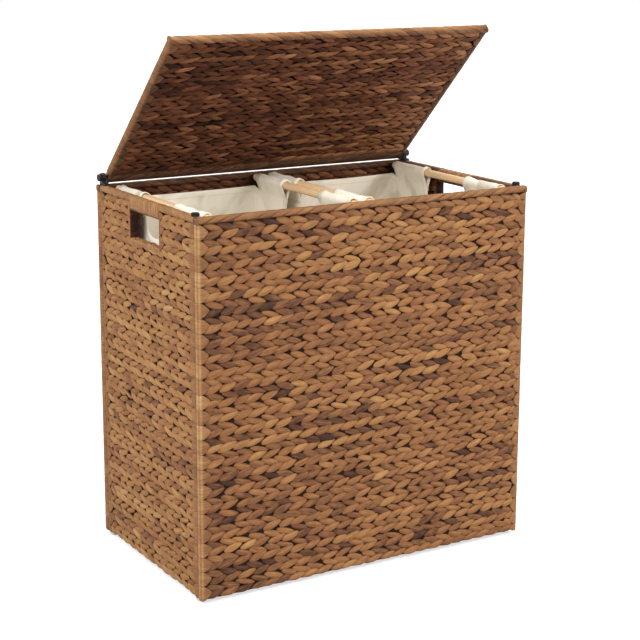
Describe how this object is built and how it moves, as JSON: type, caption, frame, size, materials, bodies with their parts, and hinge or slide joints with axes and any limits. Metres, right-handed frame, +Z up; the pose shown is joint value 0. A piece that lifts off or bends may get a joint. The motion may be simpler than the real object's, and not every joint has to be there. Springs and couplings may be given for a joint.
{
  "type": "laundry hamper",
  "caption": "Braided laundry hamper with a hinged lid, hand openings in its sides and canvas bags hung from wooden dowels.",
  "frame": {"origin": "on the floor, below the middle of the hamper", "axes": "+X right along the front wall, +Y from the front wall to the back wall, +Z up"},
  "size_m": [0.5626, 0.34, 0.7945],
  "materials": {
    "braid": "matte",
    "binding": "matte",
    "steel": "satin",
    "black_plastic": "matte",
    "clear_plastic": "satin",
    "dowel_wood": "satin",
    "canvas": "matte"
  },
  "bodies": {
    "hamper_body": {"front_frame": "steel", "front_weave": "braid", "front_rim_binding": "binding", "front_end_strip_a": "binding", "front_end_strip_b": "binding", "back_frame": "steel", "back_weave": "braid", "back_rim_binding": "binding", "back_end_strip_a": "binding", "back_end_strip_b": "binding", "left_frame": "steel", "left_weave": "braid", "left_grip_wrap": "binding", "right_frame": "steel", "right_weave": "braid", "right_grip_wrap": "binding", "base_frame": "steel", "base_weave": "braid", "foot_front_left": "clear_plastic", "foot_front_right": "clear_plastic", "foot_rear_left": "clear_plastic", "foot_rear_right": "clear_plastic", "post_cap_left": "black_plastic", "hinge_eye_left": "steel", "post_cap_right": "black_plastic", "hinge_eye_right": "steel", "cradle_front_left_outer": "steel", "cradle_rear_left_outer": "steel", "cradle_front_left_inner": "steel", "cradle_rear_left_inner": "steel", "cradle_front_right_inner": "steel", "cradle_rear_right_inner": "steel", "cradle_front_right_outer": "steel", "cradle_rear_right_outer": "steel"},
    "lid": {"lid_frame": "steel", "lid_weave": "braid", "lid_rear_binding": "binding", "lid_front_binding": "binding", "lid_left_binding": "binding", "lid_right_binding": "binding", "hinge_cap_left": "black_plastic", "hinge_cap_right": "black_plastic"},
    "left_bag_set": {"left_bag": "canvas", "dowel_left_outer": "dowel_wood", "dowel_left_inner": "dowel_wood"},
    "right_bag_set": {"right_bag": "canvas", "dowel_right_inner": "dowel_wood", "dowel_right_outer": "dowel_wood"}
  },
  "joints": [
    {"name": "lid_hinge", "type": "hinge", "parent": "hamper_body", "child": "lid", "pos_m": [0, 0.158, 0.5696], "axis": [-1, 0, 0], "range_deg": [-44, 66]},
    {"name": "left_bag_lift", "type": "slide", "parent": "hamper_body", "child": "left_bag_set", "axis": [0, 0, 1], "range_m": [0, 0.0035]},
    {"name": "right_bag_lift", "type": "slide", "parent": "hamper_body", "child": "right_bag_set", "axis": [0, 0, 1], "range_m": [0, 0.0035]}
  ]
}
